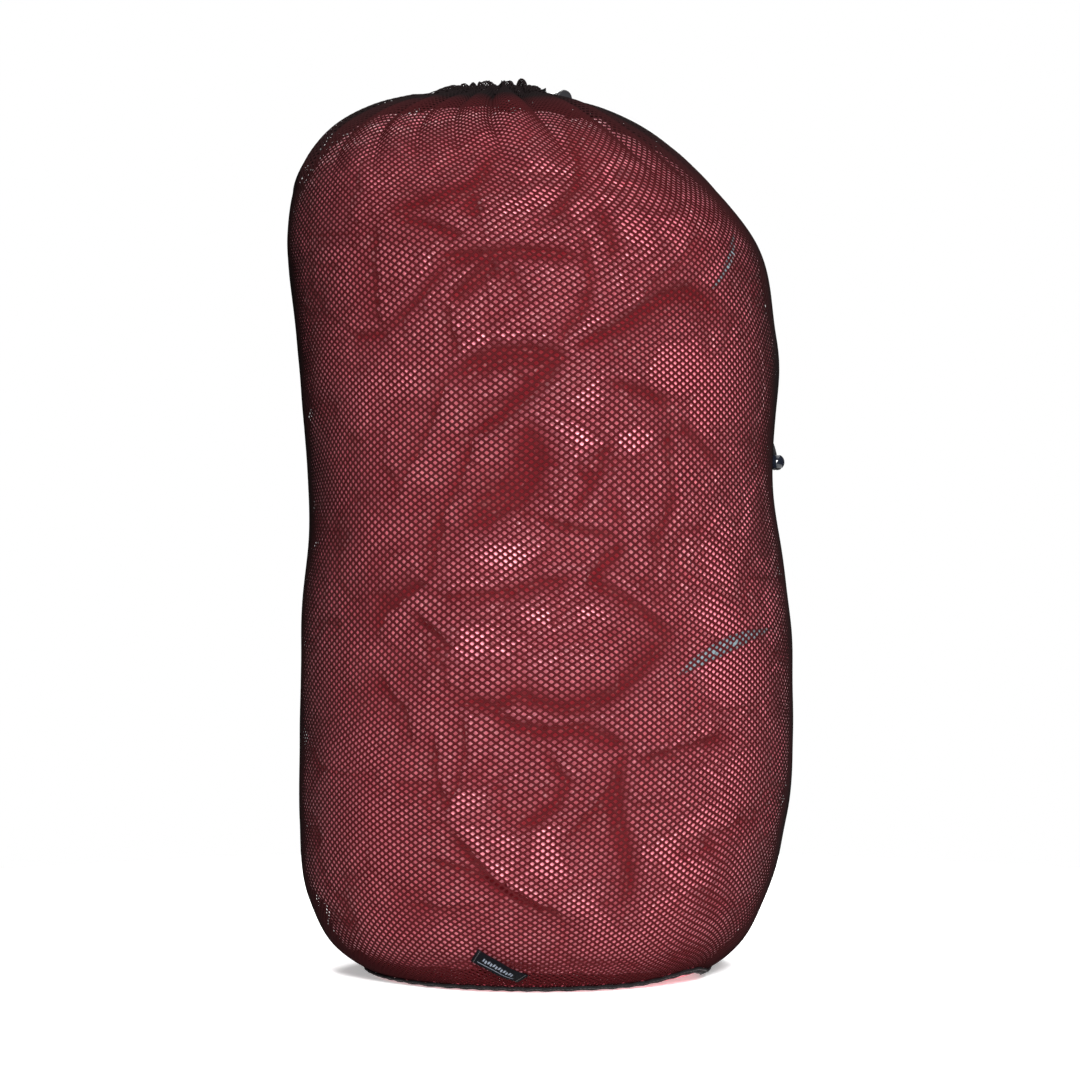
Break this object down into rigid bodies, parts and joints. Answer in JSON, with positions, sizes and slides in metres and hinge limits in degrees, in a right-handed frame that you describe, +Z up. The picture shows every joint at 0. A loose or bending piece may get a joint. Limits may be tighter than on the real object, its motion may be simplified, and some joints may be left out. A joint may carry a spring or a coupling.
{
  "type": "mesh drawstring sack holding a stuffed sleeping bag",
  "caption": "Upright black mesh drawstring sack, stuffed with a red sleeping bag and cinched at the top with a cord and spring cord lock.",
  "frame": {"origin": "centre of the sack's footprint, on the floor that it stands on", "axes": "+Z up the sack to its gathered mouth, -Y towards the front with the label, the drawcord hangs on the +X side"},
  "size_m": [0.4035, 0.3748, 0.7105],
  "materials": {
    "knit_mesh": "black warp-knit polyester mesh with staggered oval holes",
    "red_nylon": "coated red nylon taffeta",
    "black_tape": "black grosgrain binding tape",
    "woven_label": "black damask woven label with no lettering",
    "gathered_hem": "black mesh hem gathered in pleats",
    "eyelet_metal": "black lacquered eyelet",
    "drawcord": "black braided polyester cord",
    "moulded_black": "glossy black moulded acetal",
    "spring_steel": "bright spring wire",
    "bag_shell": "crinkled red nylon taffeta",
    "bag_lining": "slate blue polyester taffeta"
  },
  "bodies": {
    "sack": {"mesh_body": "knit_mesh", "base_panel": "red_nylon", "base_binding": "black_tape", "back_seam_tape": "black_tape", "woven_label": "woven_label", "drawcord_channel": "gathered_hem", "exit_patch": "black_tape", "eyelet": "eyelet_metal", "eyelet_washer": "eyelet_metal", "drawcord_loop": "drawcord", "drawcord_tail_front": "drawcord", "drawcord_tail_back": "drawcord", "cord_end_bead": "moulded_black", "cord_end_knot": "drawcord", "sleeping_bag": "bag_shell", "lining_fold_lower": "bag_lining", "lining_fold_upper": "bag_lining"},
    "cord_lock": {"lock_barrel": "moulded_black", "lock_spring": "spring_steel"},
    "lock_button": {"lock_plunger": "moulded_black"}
  },
  "joints": [
    {"name": "cord_lock_slide", "type": "slide", "parent": "sack", "child": "cord_lock", "axis": [0.8975, 0.4185, -0.1392], "range_m": [-0.003, 0.016]},
    {"name": "plunger_press", "type": "slide", "parent": "cord_lock", "child": "lock_button", "axis": [0.4226, -0.9063, 0], "range_m": [0, 0.0035], "stiffness_N_per_m": 800, "springref_m": -0.004, "deforming": ["lock_spring"]}
  ]
}
